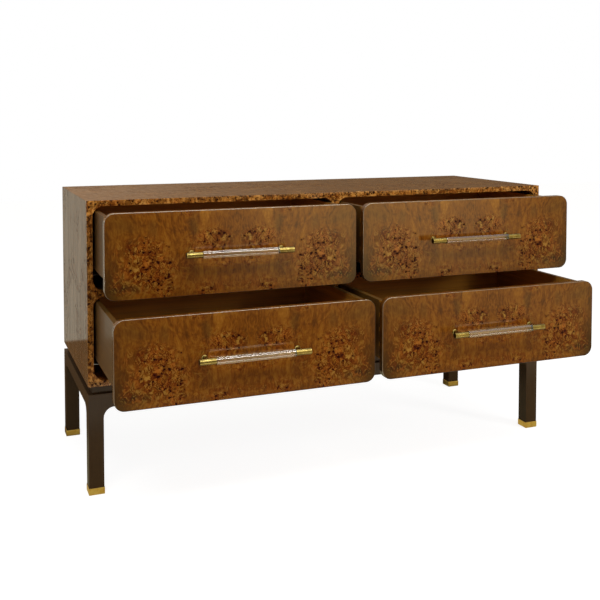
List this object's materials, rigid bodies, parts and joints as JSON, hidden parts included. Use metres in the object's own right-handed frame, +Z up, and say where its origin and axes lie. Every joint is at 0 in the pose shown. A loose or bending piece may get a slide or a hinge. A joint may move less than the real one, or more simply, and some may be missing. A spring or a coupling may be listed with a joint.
{
  "type": "chest of drawers",
  "caption": "Low chest of drawers in burl veneer on a dark leg frame, with inset round-cornered fronts, clear bar handles and drawers on hidden runners.",
  "frame": {"origin": "middle of the part's own box at floor level, with the drawers pulled out as pictured", "axes": "+X to the right along the width as seen from the front, the fronts face -Y and +Z is up"},
  "size_m": [1.5024, 0.8862, 0.826],
  "materials": {
    "burl": "glossy lacquered burl veneer",
    "veneer": "lacquered straight-grained veneer",
    "box_wood": "dark stained wood, satin",
    "espresso": "dark espresso lacquer",
    "brass": "satin brass",
    "acrylic": "clear polished acrylic",
    "steel": "zinc plated steel"
  },
  "bodies": {
    "case": {"case_top": "veneer", "case_bottom": "veneer", "left_side": "veneer", "right_side": "veneer", "back_panel": "veneer", "face_frame": "burl", "centre_partition": "veneer", "left_divider": "veneer", "right_divider": "veneer", "left_tracks": "steel", "right_tracks": "steel", "back_screws": "steel", "spacer_frame": "espresso", "front_rail": "espresso", "back_rail": "espresso", "left_rail": "espresso", "right_rail": "espresso", "front_left_leg": "espresso", "front_right_leg": "espresso", "back_left_leg": "espresso", "back_right_leg": "espresso", "brass_feet": "brass", "stand_bolts": "steel"},
    "upper_left_drawer": {"upper_left_front": "burl", "upper_left_box_front": "box_wood", "upper_left_box_left": "box_wood", "upper_left_box_right": "box_wood", "upper_left_box_back": "box_wood", "upper_left_box_bottom": "box_wood", "upper_left_handle_ends": "brass", "upper_left_handle_rod": "acrylic", "upper_left_runners": "steel"},
    "upper_right_drawer": {"upper_right_front": "burl", "upper_right_box_front": "box_wood", "upper_right_box_left": "box_wood", "upper_right_box_right": "box_wood", "upper_right_box_back": "box_wood", "upper_right_box_bottom": "box_wood", "upper_right_handle_ends": "brass", "upper_right_handle_rod": "acrylic", "upper_right_runners": "steel"},
    "lower_left_drawer": {"lower_left_front": "burl", "lower_left_box_front": "box_wood", "lower_left_box_left": "box_wood", "lower_left_box_right": "box_wood", "lower_left_box_back": "box_wood", "lower_left_box_bottom": "box_wood", "lower_left_handle_ends": "brass", "lower_left_handle_rod": "acrylic", "lower_left_runners": "steel"},
    "lower_right_drawer": {"lower_right_front": "burl", "lower_right_box_front": "box_wood", "lower_right_box_left": "box_wood", "lower_right_box_right": "box_wood", "lower_right_box_back": "box_wood", "lower_right_box_bottom": "box_wood", "lower_right_handle_ends": "brass", "lower_right_handle_rod": "acrylic", "lower_right_runners": "steel"}
  },
  "joints": [
    {"name": "upper_left_slide", "type": "slide", "parent": "case", "child": "upper_left_drawer", "axis": [0, -1, 0], "range_m": [-0.172, 0.163]},
    {"name": "upper_right_slide", "type": "slide", "parent": "case", "child": "upper_right_drawer", "axis": [0, -1, 0], "range_m": [-0.172, 0.163]},
    {"name": "lower_left_slide", "type": "slide", "parent": "case", "child": "lower_left_drawer", "axis": [0, -1, 0], "range_m": [-0.297, 0.038]},
    {"name": "lower_right_slide", "type": "slide", "parent": "case", "child": "lower_right_drawer", "axis": [0, -1, 0], "range_m": [-0.297, 0.038]}
  ]
}
